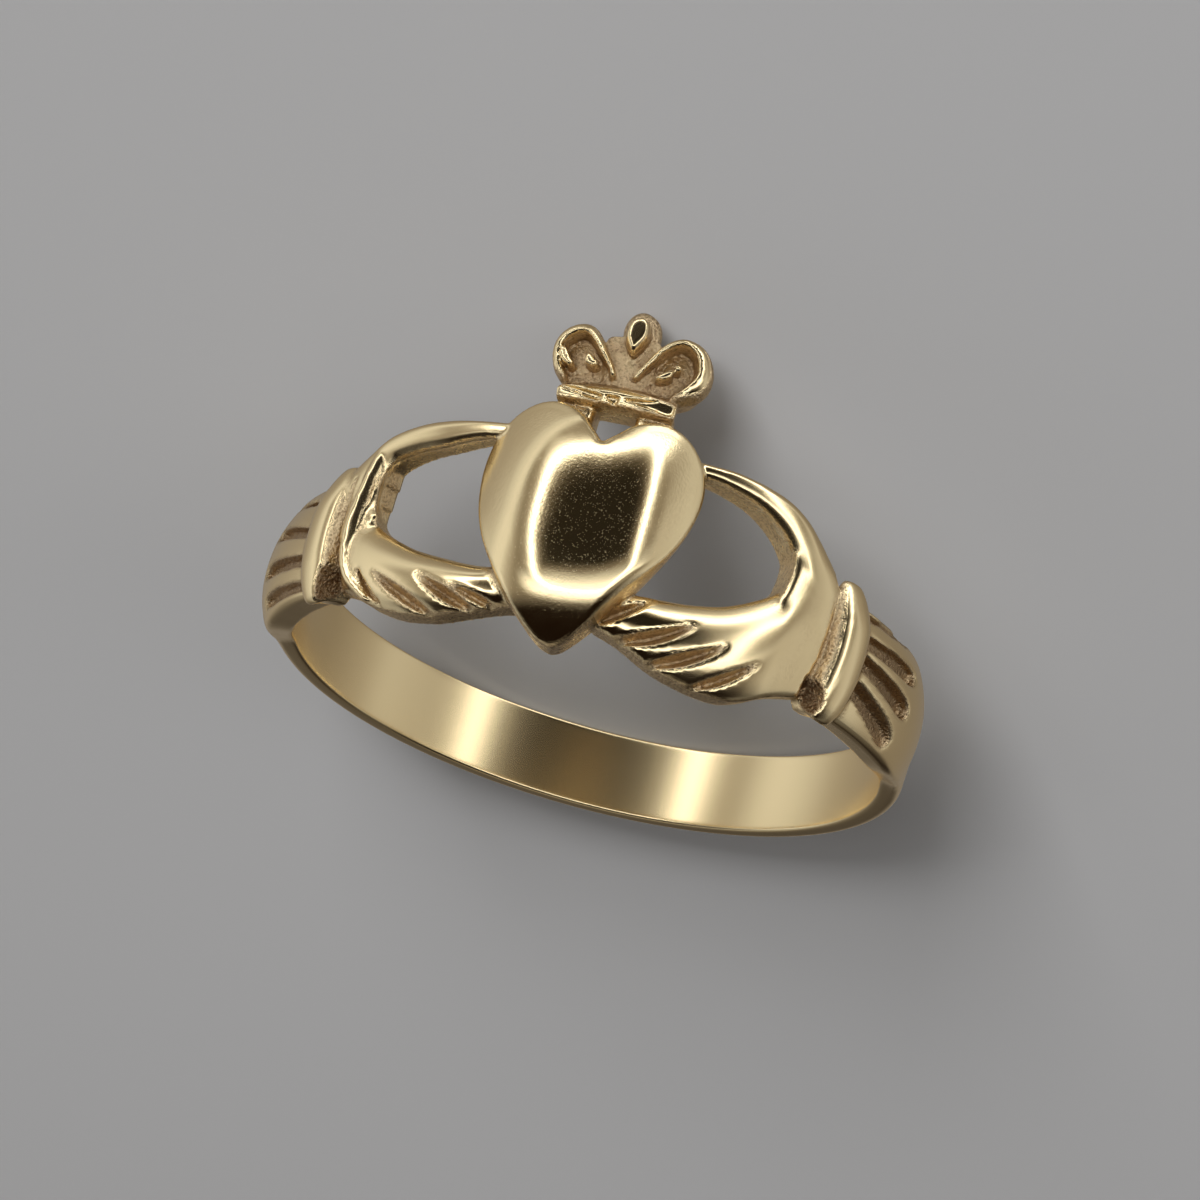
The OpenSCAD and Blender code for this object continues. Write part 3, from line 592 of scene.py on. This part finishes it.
def surface(values):
    """The cells, the surface's place in each, the quads between them and the steps round the ring."""
    n, m, q = values.shape
    wrap = np.concatenate([values, values[:1]])
    cells = (n, m - 1, q - 1)
    total = np.zeros(cells + (3,), np.float32)
    count = np.zeros(cells, np.float32)
    quads = []
    index = np.arange(n * (m - 1) * (q - 1)).reshape(cells)
    step = np.append(np.diff(GX), GX[0] + PERIOD - GX[-1])
    shifts = {0: [(0, -1, -1), (0, 0, -1), (0, 0, 0), (0, -1, 0)],
              1: [(-1, 0, -1), (-1, 0, 0), (0, 0, 0), (0, 0, -1)],
              2: [(-1, -1, 0), (0, -1, 0), (0, 0, 0), (-1, 0, 0)]}
    for axis in (0, 1, 2):
        a = values[:, :m - (axis == 1), :q - (axis == 2)]
        b = wrap[1:] if axis == 0 else (values[:, 1:] if axis == 1 else values[:, :, 1:])
        i, j, k = np.nonzero((a > 0) != (b > 0))
        fa, fb = a[i, j, k], b[i, j, k]
        t = fa / (fa - fb)
        place = np.stack([i, j, k], 1).astype(float)
        place[:, axis] += t
        corners = []
        for s in shifts[axis]:
            c = np.stack([(i + s[0]) % n, j + s[1], k + s[2]], 1)
            local = place - np.stack([i + s[0], j + s[1], k + s[2]], 1)
            np.add.at(total, (c[:, 0], c[:, 1], c[:, 2]), local.astype(np.float32))
            np.add.at(count, (c[:, 0], c[:, 1], c[:, 2]), 1)
            corners.append(index[c[:, 0], c[:, 1], c[:, 2]])
        quad = np.stack(corners, 1)
        flip = fa > 0
        quad[~flip] = quad[~flip][:, ::-1]
        quads.append(quad)
    used = np.nonzero(count.reshape(-1) > 0)[0]
    number = np.full(count.size, -1)
    number[used] = np.arange(len(used))
    local = total.reshape(-1, 3)[used] / count.reshape(-1)[used][:, None]
    cell = np.stack(np.unravel_index(used, cells), 1)
    return cell, local, number[np.concatenate(quads)], step


def sample(values, cell, local):
    """The field and its slope along the cell's own axes, between the corners of each cell."""
    n = values.shape[0]
    u, v, w = local.T
    c = {}
    for a in (0, 1):
        for b in (0, 1):
            for d in (0, 1):
                c[a, b, d] = values[(cell[:, 0] + a) % n, cell[:, 1] + b, cell[:, 2] + d].astype(float)
    f = np.zeros(len(cell))
    g = np.zeros((len(cell), 3))
    for (a, b, d), value in c.items():
        wu, wv, ww = (u if a else 1 - u), (v if b else 1 - v), (w if d else 1 - w)
        f += value * wu * wv * ww
        g[:, 0] += value * (1 if a else -1) * wv * ww
        g[:, 1] += value * wu * (1 if b else -1) * ww
        g[:, 2] += value * wu * wv * (1 if d else -1)
    return f, g


cell, local, quads, step_x = surface(field)
step_y, step_z = np.diff(GY), np.diff(GZ)
size = np.stack([step_x[cell[:, 0]], step_y[cell[:, 1]], step_z[cell[:, 2]]], 1)
for _ in range(4):
    f, g = sample(field, cell, local)
    g = g / size
    move = -f[:, None] * g / np.maximum((g ** 2).sum(1), 0.05)[:, None]
    local = np.clip(local + move / size * 0.7, 0.0, 1.0)
flat = np.stack([GX[cell[:, 0]], GY[cell[:, 1]], GZ[cell[:, 2]]], 1) + local * size
print("ring mesh:", len(flat), "vertices,", 2 * len(quads), "triangles")

# Rolled round the finger hole and laid in its resting place
turn = flat[:, 0] / ROLL_R
radius = BORE_R + flat[:, 2]
across, along, out = radius * np.sin(turn), flat[:, 1], radius * np.cos(turn)
lean_s, lean_c = math.sin(TILT), math.cos(TILT)
points = np.stack([-across, -lean_s * along - lean_c * out, -lean_c * along + lean_s * out], 1) * MM

mesh = bpy.data.meshes.new("ring_gold")
mesh.from_pydata(points.tolist(), [], quads.tolist())
mesh.update()
mesh.shade_smooth()
ring = bpy.data.objects.new("ring_gold", mesh)
bpy.context.scene.collection.objects.link(ring)
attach(ring, "root")
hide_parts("ring")

# Where the surface is hollow or a wall, kept on the vertices for the gold, which is painted darker and
# browner there: painted shade, with some real dirt and rough casting


def blurred(values, reach):
    """Mean over a box of grid points, round the ring without an end."""
    for axis, width in enumerate(reach):
        pad = [(0, 0)] * 3
        pad[axis] = (width, width)
        padded = np.pad(values, pad, mode="wrap" if axis == 0 else "edge")
        total = np.cumsum(padded, axis=axis, dtype=np.float64)
        zero = np.zeros_like(np.take(total, [0], axis=axis))
        total = np.concatenate([zero, total], axis=axis)
        box = 2 * width + 1
        count = values.shape[axis]
        high = np.take(total, range(box, box + count), axis=axis)
        low = np.take(total, range(count), axis=axis)
        values = ((high - low) / box).astype(np.float32)
    return values


def rising(value, start, width):
    """0 up to start, 1 from start + width on."""
    return np.clip((value - start) / width, 0, 1)


def falling(value, end, width):
    """1 up to end - width, 0 from end on."""
    return np.clip((end - value) / width, 0, 1)


# the share of metal close by, with the finger hole taken as filled: it stands in for shade, and the gold is
# painted darker where there is much of it
solid = np.clip(0.5 + field / 0.1, 0, 1).astype(np.float32)
above_hole = np.pad(solid, [(0, 0), (0, 0), (6, 0)], mode="edge")
above_hole[:, :, :8] = above_hole[:, :, 8:9]
near = blurred(above_hole, (2, 2, 1))[:, :, 6:]
wide = blurred(blurred(above_hole, (4, 4, 3)), (3, 3, 2))[:, :, 6:]
round_way, along_way, above = flat.T
from_heart = np.abs(round_way)
off_hole = rising(above, 0.06, 0.12)
recess_near = sample(near, cell, local)[0] * off_hole
recess_wide = sample(wide, cell, local)[0] * off_hole
carved = rising(sample(uncut, cell, local)[0], 0, 0.08) * off_hole

normals = np.empty(len(points) * 3)
mesh.vertex_normals.foreach_get("vector", normals)
normals = normals.reshape(-1, 3)
outward = np.stack([-np.sin(turn), -lean_c * np.cos(turn), lean_s * np.cos(turn)], 1)
upright = (normals * outward).sum(1)
at_front = falling(from_heart, arc(CUFF_AT) - 0.2, 0.6)
wall = np.clip(1 - np.abs(upright) / 0.75, 0, 1) * at_front
to_cuff = np.abs(from_heart - cuff_edge(along_way))
cuff_side = np.clip(1.5 - to_cuff / 0.16, 0, 1) * falling(upright, 0.97, 0.12)
on_sleeve = rising(from_heart, arc(CUFF_AT), 0.3)
in_pit = falling(to_cuff, 1.1, 0.3) * rising(-along_way, 0.9, 0.3)
on_crown = rising(along_way - HEART_TOP, 0.02, 0.12)
plate = on_crown * falling(above, 0.96 * ARCH_T, 0.08) * (1 - carved)
on_hands = rising(from_heart, 2.6, 0.8)
in_heart = np.clip(1.35 - np.hypot(round_way / 2.1, (along_way - 0.7) / 2.3), 0, 1) * (above > 1.3)
in_recess = rising(recess_near, 0.52, 0.25)
crevice = rising(recess_wide, 0.5, 0.3)
rough_cut = carved * (1 - on_crown)
# painted shade, with some dirt: the cuts are painted brown, most in the sleeves' pockets and the pits by the
# cuffs
cut_stain_and_shade = rough_cut * np.clip(0.2 + 0.6 * on_sleeve + 1.2 * in_pit, 0, 1)

# these masks paint the gold darker and brown in recesses, cuts, by the cuffs, on walls and on the crown's
# plate: painted shade, with some real dirt
hollows = (in_recess * (1 - 0.5 * on_crown), rough_cut, 0.9 * cuff_side, plate)
for name, values in (
        ("hollow", np.maximum.reduce(hollows)),
        ("stain_and_shade", np.maximum(cut_stain_and_shade, 0.7 * crevice + 0.22 * plate)),
        ("satin", np.maximum(0.6 * on_hands, 0.55 * on_crown)),
        ("deep", rising(recess_wide, 0.42, 0.3)),
        ("wall", wall),
        ("heart", in_heart),
        ("inner", np.clip(1 - above / 0.1, 0, 1))):
    layer = mesh.attributes.new(name, "FLOAT", "POINT")
    layer.data.foreach_set("value", np.ascontiguousarray(values, np.float32))


# Nodes


def grey(value):
    return (value, value, value, 1)


class Nodes:
    """Short ways to build a node tree."""

    def __init__(self, tree):
        self.tree = tree

    def new(self, kind, **settings):
        node = self.tree.nodes.new(kind)
        for key, value in settings.items():
            setattr(node, key, value)
        return node

    def put(self, socket, value):
        if isinstance(value, bpy.types.NodeSocket):
            self.tree.links.new(value, socket)
        else:
            socket.default_value = value

    def math(self, operation, a, b=0.0, clamp=False):
        node = self.new("ShaderNodeMath", operation=operation, use_clamp=clamp)
        self.put(node.inputs[0], a)
        self.put(node.inputs[1], b)
        return node.outputs[0]

    def dot(self, a, b):
        node = self.new("ShaderNodeVectorMath", operation="DOT_PRODUCT")
        self.put(node.inputs[0], a)
        self.put(node.inputs[1], b)
        return node.outputs["Value"]

    def ramp(self, value, stops, low=0.0, high=1.0):
        """Colour ramp over low to high; each stop is [place, grey or colour]."""
        spread = self.new("ShaderNodeMapRange")
        self.put(spread.inputs["Value"], value)
        spread.inputs["From Min"].default_value = low
        spread.inputs["From Max"].default_value = high
        node = self.new("ShaderNodeValToRGB")
        self.put(node.inputs[0], spread.outputs[0])
        elements = node.color_ramp.elements
        for k, (place, colour) in enumerate(stops):
            element = elements[k] if k < 2 else elements.new(1.0)
            element.position = (place - low) / (high - low)
            element.color = grey(colour) if np.isscalar(colour) else colour
        return node.outputs[0]

    def mix(self, share, a, b, blend="MIX"):
        node = self.new("ShaderNodeMix", data_type="RGBA", blend_type=blend)
        self.put(node.inputs[0], share)
        self.put(node.inputs[6], a)
        self.put(node.inputs[7], b)
        return node.outputs[2]

    def noise(self, where, scale, detail):
        node = self.new("ShaderNodeTexNoise")
        self.put(node.inputs["Vector"], where)
        node.inputs["Scale"].default_value = scale
        node.inputs["Detail"].default_value = detail
        return node.outputs["Fac"]

    def attribute(self, name):
        return self.new("ShaderNodeAttribute", attribute_name=name).outputs["Fac"]


def gold_material():
    bright, cast_and_shaded_gold, brown = (0.95, 0.78, 0.46, 1), (0.78, 0.59, 0.37, 1), (0.24, 0.14, 0.07, 1)
    satin_rough, inner_rough, cast_rough, speck_rough = grey(0.27), grey(0.26), grey(0.36), grey(0.55)
    bump_distance = 0.00004
    material = bpy.data.materials.new("gold")
    material.use_nodes = True
    t = Nodes(material.node_tree)
    shader = material.node_tree.nodes["Principled BSDF"]
    where = t.new("ShaderNodeTexCoord").outputs["Object"]
    hollow, deep, steep, worn, inner, stain_and_shade, satin = (
        t.attribute(n) for n in ("hollow", "deep", "wall", "heart", "inner", "stain_and_shade", "satin"))
    grain = t.noise(where, 34000, 1)
    fine = t.noise(where, 13000, 3)
    coarse = t.noise(where, 2600, 3)
    # rough casting in the hollows and on the walls, painted a darker gold and brown there: painted shade,
    # with some real dirt left in it
    cast_and_shade = t.math("MAXIMUM", hollow, t.math("MULTIPLY", steep, 0.8))
    cast_and_shade = t.math("MAXIMUM", cast_and_shade, t.math("MULTIPLY", deep, 0.7))
    patchy = t.ramp(coarse, [[0.3, 0.62], [0.6, 1.13]])
    cast_and_shade = t.math("MULTIPLY", t.math("SUBTRACT", cast_and_shade, 0.12, clamp=True), patchy, clamp=True)
    # painted shade: a darker gold in the hollows, cuts and pits and on the walls
    colour = t.mix(t.math("MULTIPLY", cast_and_shade, 0.8), bright, cast_and_shaded_gold)
    # brown there and brown pores: painted shade, with some real dirt
    dirt_and_shade = t.math("MULTIPLY", stain_and_shade, t.ramp(fine, [[0.35, 1.0], [0.65, 0.6]]))
    pores = t.math("MULTIPLY", cast_and_shade, t.ramp(fine, [[0.38, 0.75], [0.54, 0.0]]))
    t.put(shader.inputs["Base Color"], t.mix(t.math("MAXIMUM", dirt_and_shade, pores), colour, brown))
    shader.inputs["Metallic"].default_value = 1
    # small dull specks on the worn middle of the heart
    speck = t.math("MULTIPLY", t.ramp(grain, [[0.72, 0.0], [0.78, 1.0]]), worn)
    polish = t.ramp(coarse, [[0.3, 0.09], [0.7, 0.13]])
    polish = t.mix(satin, polish, satin_rough)
    polish = t.mix(inner, polish, inner_rough)
    rough = t.mix(cast_and_shade, polish, cast_rough)
    t.put(shader.inputs["Roughness"], t.mix(speck, rough, speck_rough))
    # grain: very slight where polished, strong where cast
    bump = t.new("ShaderNodeBump")
    bump.inputs["Distance"].default_value = bump_distance
    height = t.math("ADD", t.math("MULTIPLY", fine, t.math("MULTIPLY", cast_and_shade, 1.8)),
                    t.math("MULTIPLY", grain, t.math("ADD", t.math("MULTIPLY", speck, 0.2), 0.012)))
    t.put(bump.inputs["Height"], height)
    t.put(shader.inputs["Normal"], bump.outputs[0])
    return material


mesh.materials.append(gold_material())

# Floor, left out of the gold's mirror so that the studio shows in it all round
FLOOR_SIZE = 4
FLOOR_COLOUR = (0.46, 0.46, 0.465, 1)
floor_z = CAD_BOX[0][2]
bpy.ops.mesh.primitive_plane_add(size=FLOOR_SIZE, location=(0, 0, floor_z))
floor = bpy.context.object
floor.name = "floor"
floor.visible_glossy = False
matt = bpy.data.materials.new("floor_grey")
matt.use_nodes = True
matt_shader = matt.node_tree.nodes["Principled BSDF"]
matt_shader.inputs["Base Color"].default_value = FLOOR_COLOUR
matt_shader.inputs["Roughness"].default_value = 1
matt_shader.inputs["Specular IOR Level"].default_value = 0
floor.data.materials.append(matt)

# Camera, at the photo's angle to the ring: the picture's width and the focal length in pixels, the distance
# in mm from the middle of the finger hole, and where that middle is in the picture
PICTURE = 1200
FOCAL_PX = 5251.15
RANGE = 149.85
CENTRE_PX = (596.0, 673.2)
SENSOR = 36
# the picture's own directions: across the ring, towards the crown, out through the heart
VIEW_RIGHT = (0.96364834, 0.26113711, -0.05647373)
VIEW_UP = (-0.22656545, 0.91074209, 0.34527808)
VIEW_BACK = (0.14159793, -0.31993165, 0.93679975)


def laid(v):
    """A direction of [across, towards the crown, out through the heart] in the resting place."""
    x, f, r = v
    return Vector((-x, -lean_s * f - lean_c * r, -lean_c * f + lean_s * r))


camera_data = bpy.data.cameras.new("camera")
camera = bpy.data.objects.new("camera", camera_data)
bpy.context.scene.collection.objects.link(camera)
right, up, back = laid(VIEW_RIGHT), laid(VIEW_UP), laid(VIEW_BACK)
off_x = (PICTURE / 2 - CENTRE_PX[0]) / FOCAL_PX
off_y = (CENTRE_PX[1] - PICTURE / 2) / FOCAL_PX
aim = (right * off_x + up * off_y - back).normalized()
side = aim.cross(up).normalized()
rotation = Matrix((side, side.cross(aim), -aim)).transposed()
camera.matrix_world = Matrix.Translation(back * RANGE * MM) @ rotation.to_4x4()
camera_data.sensor_fit = "HORIZONTAL"
camera_data.sensor_width = SENSOR
camera_data.lens = FOCAL_PX / PICTURE * SENSOR
camera_data.clip_start = 0.01
bpy.context.scene.camera = camera
bpy.context.scene.view_settings.view_transform = "Standard"

# Soft studio all round the ring, fixed in the room: a dark opening in the middle with a bright frame,
# pale walls at the sides, brown ones further round and a dark side below
world = bpy.data.worlds.new("studio")
bpy.context.scene.world = world
world.use_nodes = True
w = Nodes(world.node_tree)
direction = w.new("ShaderNodeTexCoord").outputs["Generated"]
to_right = w.dot(direction, tuple(laid(VIEW_RIGHT)))
to_top = w.dot(direction, tuple(laid(VIEW_UP)))
to_front = w.dot(direction, tuple(laid(VIEW_BACK)))
lon = w.math("MULTIPLY", w.math("ARCTAN2", to_right, to_front), 180 / math.pi)
lat = w.math("MULTIPLY", w.math("ARCSINE", to_top), 180 / math.pi)
ALL_ROUND = (-180, 180)
STRENGTH = 3.2
DARK = (0.003, 0.0017, 0.001, 1)


def tone(value):
    """Light of a wall: neutral where bright, warmer where dim."""
    k = min(value / 0.2, 1)
    return (value, value * (0.82 + 0.18 * k), value * (0.62 + 0.38 * k), 1)


def toned(stops):
    return [[place, tone(value)] for place, value in stops]


walls = w.ramp(lon, toned([
    [-180, 0.07], [-140, 0.1], [-125, 0.12], [-112, 0.19], [-96, 0.25], [-82, 0.25], [-70, 0.15],
    [-58, 0.08], [-40, 0.08], [0, 0.07], [40, 0.09], [52, 0.11], [64, 0.065], [76, 0.15], [92, 0.19],
    [100, 0.12], [125, 0.075], [180, 0.07]]), *ALL_ROUND)
# dark side below, deepest in the middle and at the far right
shore = w.ramp(lon, [
    [-180, 0.25], [-150, 0.2], [-100, 0.1], [-60, 0.1], [-30, 0.12], [20, 0.14], [50, 0.22],
    [90, 0.33], [140, 0.35], [180, 0.3]], *ALL_ROUND)
depth = w.ramp(lon, [
    [-180, 0.8], [-150, 0.55], [-110, 0.35], [-70, 0.8], [-50, 1.0], [50, 1.0], [90, 0.75],
    [120, 0.7], [150, 0.95], [180, 0.9]], *ALL_ROUND)
under = w.math("SUBTRACT", w.math("MULTIPLY", shore, -100), lat)
below = w.math("MULTIPLY", w.ramp(under, [[-7, 0.0], [7, 1.0]], *ALL_ROUND), depth)
# pale again straight down on the left
foot = w.math("MULTIPLY", w.ramp(lat, [[-70, 1.0], [-50, 0.0]], -90, 90),
              w.ramp(lon, [[-150, 0.3], [-100, 1.0], [-30, 0.8], [10, 0.0]], *ALL_ROUND))
# how far from the middle of the opening, 1 along the middle of its frame, that has rounded corners
OPENING_AT, OPENING_HALF, SQUARE = (0.08, 0.42), (0.66, 0.475), 3.2
reaches = []
for value, middle, half in zip((to_right, to_top), OPENING_AT, OPENING_HALF):
    off_middle = w.math("DIVIDE", w.math("SUBTRACT", value, middle), half)
    reaches.append(w.math("POWER", w.math("ABSOLUTE", off_middle), SQUARE))
off = w.math("POWER", w.math("ADD", *reaches), 1 / SQUARE)
opening = w.ramp(off, toned([
    [0.0, 0.005], [0.68, 0.006], [0.8, 0.025], [0.88, 0.09], [0.93, 0.3], [0.97, 1.0], [1.03, 1.0],
    [1.07, 0.35], [1.13, 0.11], [1.25, 0.075], [1.4, 0.075]]), 0, 2)
glow = w.ramp(to_top, toned([[-0.1, 0.6], [0.05, 0.42], [0.15, 0.2], [0.25, 0.06], [0.34, 0.001]]), -1, 1)
opening = w.mix(1.0, opening, glow, "LIGHTEN")
ahead = w.ramp(to_front, [[-0.02, 0.0], [0.12, 1.0]], -1, 1)
light = w.mix(w.math("MULTIPLY", w.ramp(off, [[1.22, 1.0], [1.4, 0.0]], 0, 2), ahead), walls, opening)
light = w.mix(below, light, DARK)
light = w.mix(foot, light, tone(0.09))
background = world.node_tree.nodes["Background"]
w.put(background.inputs["Color"], light)
background.inputs["Strength"].default_value = STRENGTH

# Soft lamp over the floor, kept out of the gold's mirror
LAMP_SIZE = 0.26
LAMP_POWER = 5.8
LAMP_AT = (0.13, -0.63, 0.26)
lamp_data = bpy.data.lights.new("lamp", "AREA")
lamp_data.size = LAMP_SIZE
lamp_data.energy = LAMP_POWER
lamp = bpy.data.objects.new("lamp", lamp_data)
lamp.location = LAMP_AT
lamp.rotation_euler = (-lamp.location).to_track_quat("-Z", "Y").to_euler()
lamp.visible_glossy = False
bpy.context.scene.collection.objects.link(lamp)
